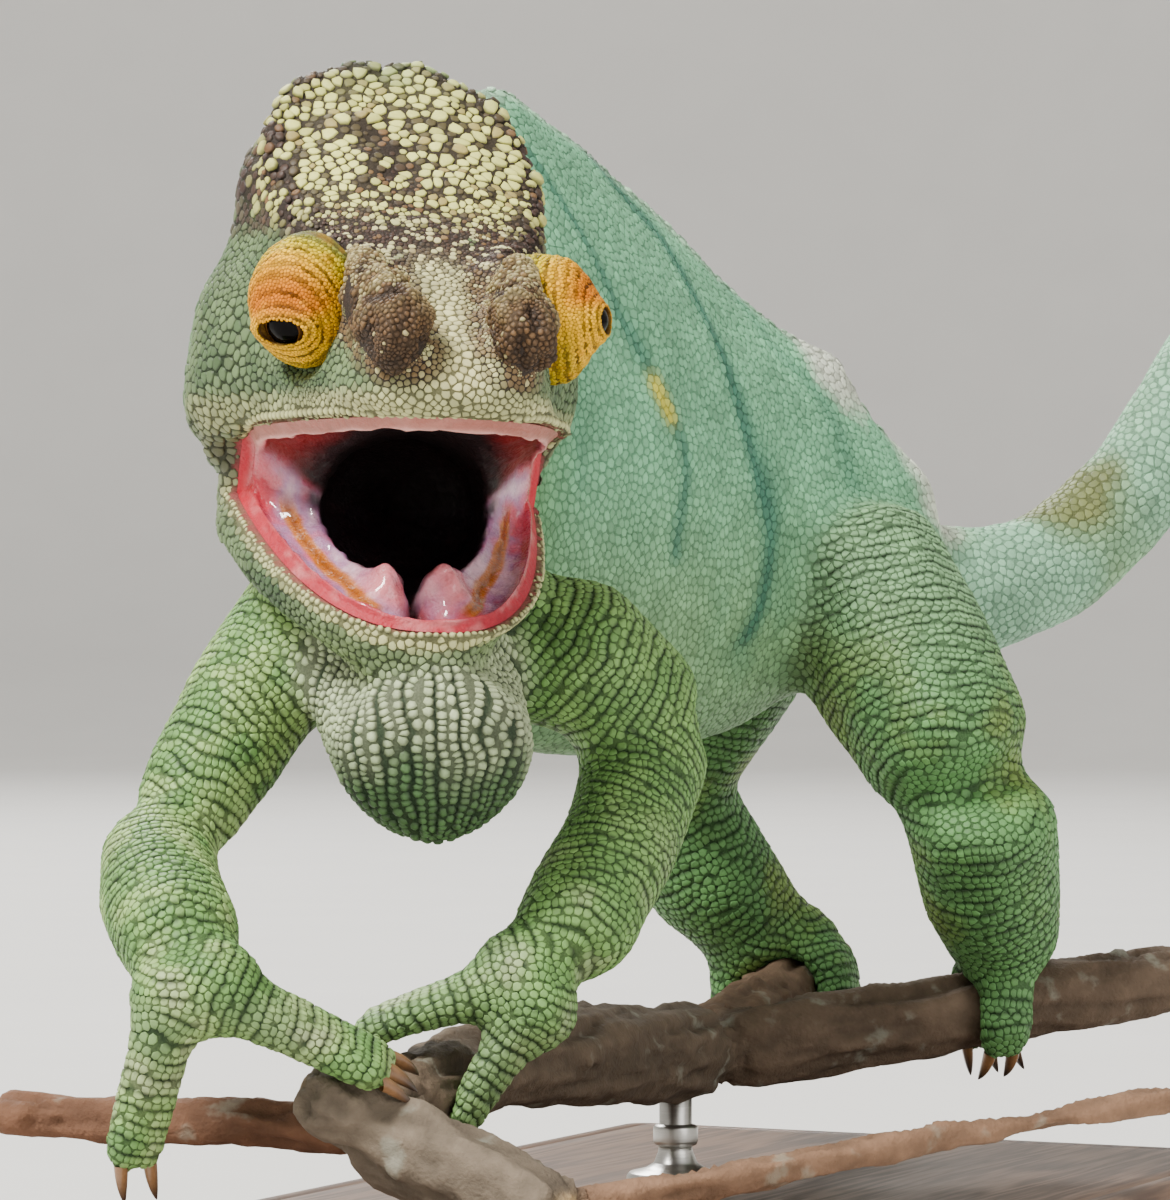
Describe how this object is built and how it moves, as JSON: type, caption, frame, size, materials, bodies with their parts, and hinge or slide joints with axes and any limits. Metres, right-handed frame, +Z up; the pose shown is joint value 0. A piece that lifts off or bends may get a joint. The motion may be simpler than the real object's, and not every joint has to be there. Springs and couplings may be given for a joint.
{
  "type": "chameleon",
  "caption": "Life-size gaping Parson's chameleon with blunt nose horns, a tall casque and a coiled tail, gripping a cut forked branch that a plain display stand holds up.",
  "frame": {"origin": "middle of the stand base's underside", "axes": "+Z up, -Y the way the trunk and head lead, +X to the animal's left"},
  "size_m": [0.1794, 0.3528, 0.2074],
  "materials": {
    "skin": "matt scaled skin, green to turquoise with cream crown and dark oblique bands",
    "turret_skin": "finely ringed matt eyelid skin, yellow with orange near the opening",
    "horn": "matt warty scales over bone, brown with a mauve cast",
    "eyeball": "wet and glossy, dark pupil in a thin golden iris",
    "mouth_lining": "wet glossy tissue, pink and mauve with ochre sides and a black throat",
    "claw": "satin horn, brown with darker tips",
    "bark": "weathered grey-brown bark with pale cut ends",
    "base_wood": "satin oiled dark hardwood",
    "rod_metal": "brushed"
  },
  "bodies": {
    "root": {"perch_stem": "bark", "perch_arm_left": "bark", "perch_arm_right": "bark", "perch_stub": "bark", "perch_twig_left": "bark", "perch_twig_right": "bark", "stand_base": "base_wood", "stand_rod_front": "rod_metal", "stand_rod_rear": "rod_metal", "eyeball_right": "eyeball", "eyeball_left": "eyeball", "eye_turret_right": "turret_skin", "eye_turret_left": "turret_skin", "horn_right": "horn", "horn_left": "horn", "mouth_lining_upper": "mouth_lining", "mouth_lining_lower": "mouth_lining", "head": "skin", "casque": "skin", "lower_jaw": "skin", "neck": "skin", "trunk_front": "skin", "trunk_middle": "skin", "trunk_rear": "skin", "gular_pouch": "skin", "tail_1": "skin", "tail_2": "skin", "tail_3": "skin", "tail_4": "skin", "tail_5": "skin", "upper_arm_right": "skin", "forearm_right": "skin", "hand_inner_right": "skin", "hand_outer_right": "skin", "upper_arm_left": "skin", "forearm_left": "skin", "hand_inner_left": "skin", "hand_outer_left": "skin", "thigh_left": "skin", "shank_left": "skin", "foot_inner_left": "skin", "foot_outer_left": "skin", "thigh_right": "skin", "shank_right": "skin", "foot_inner_right": "skin", "foot_outer_right": "skin"}
  },
  "joints": []
}
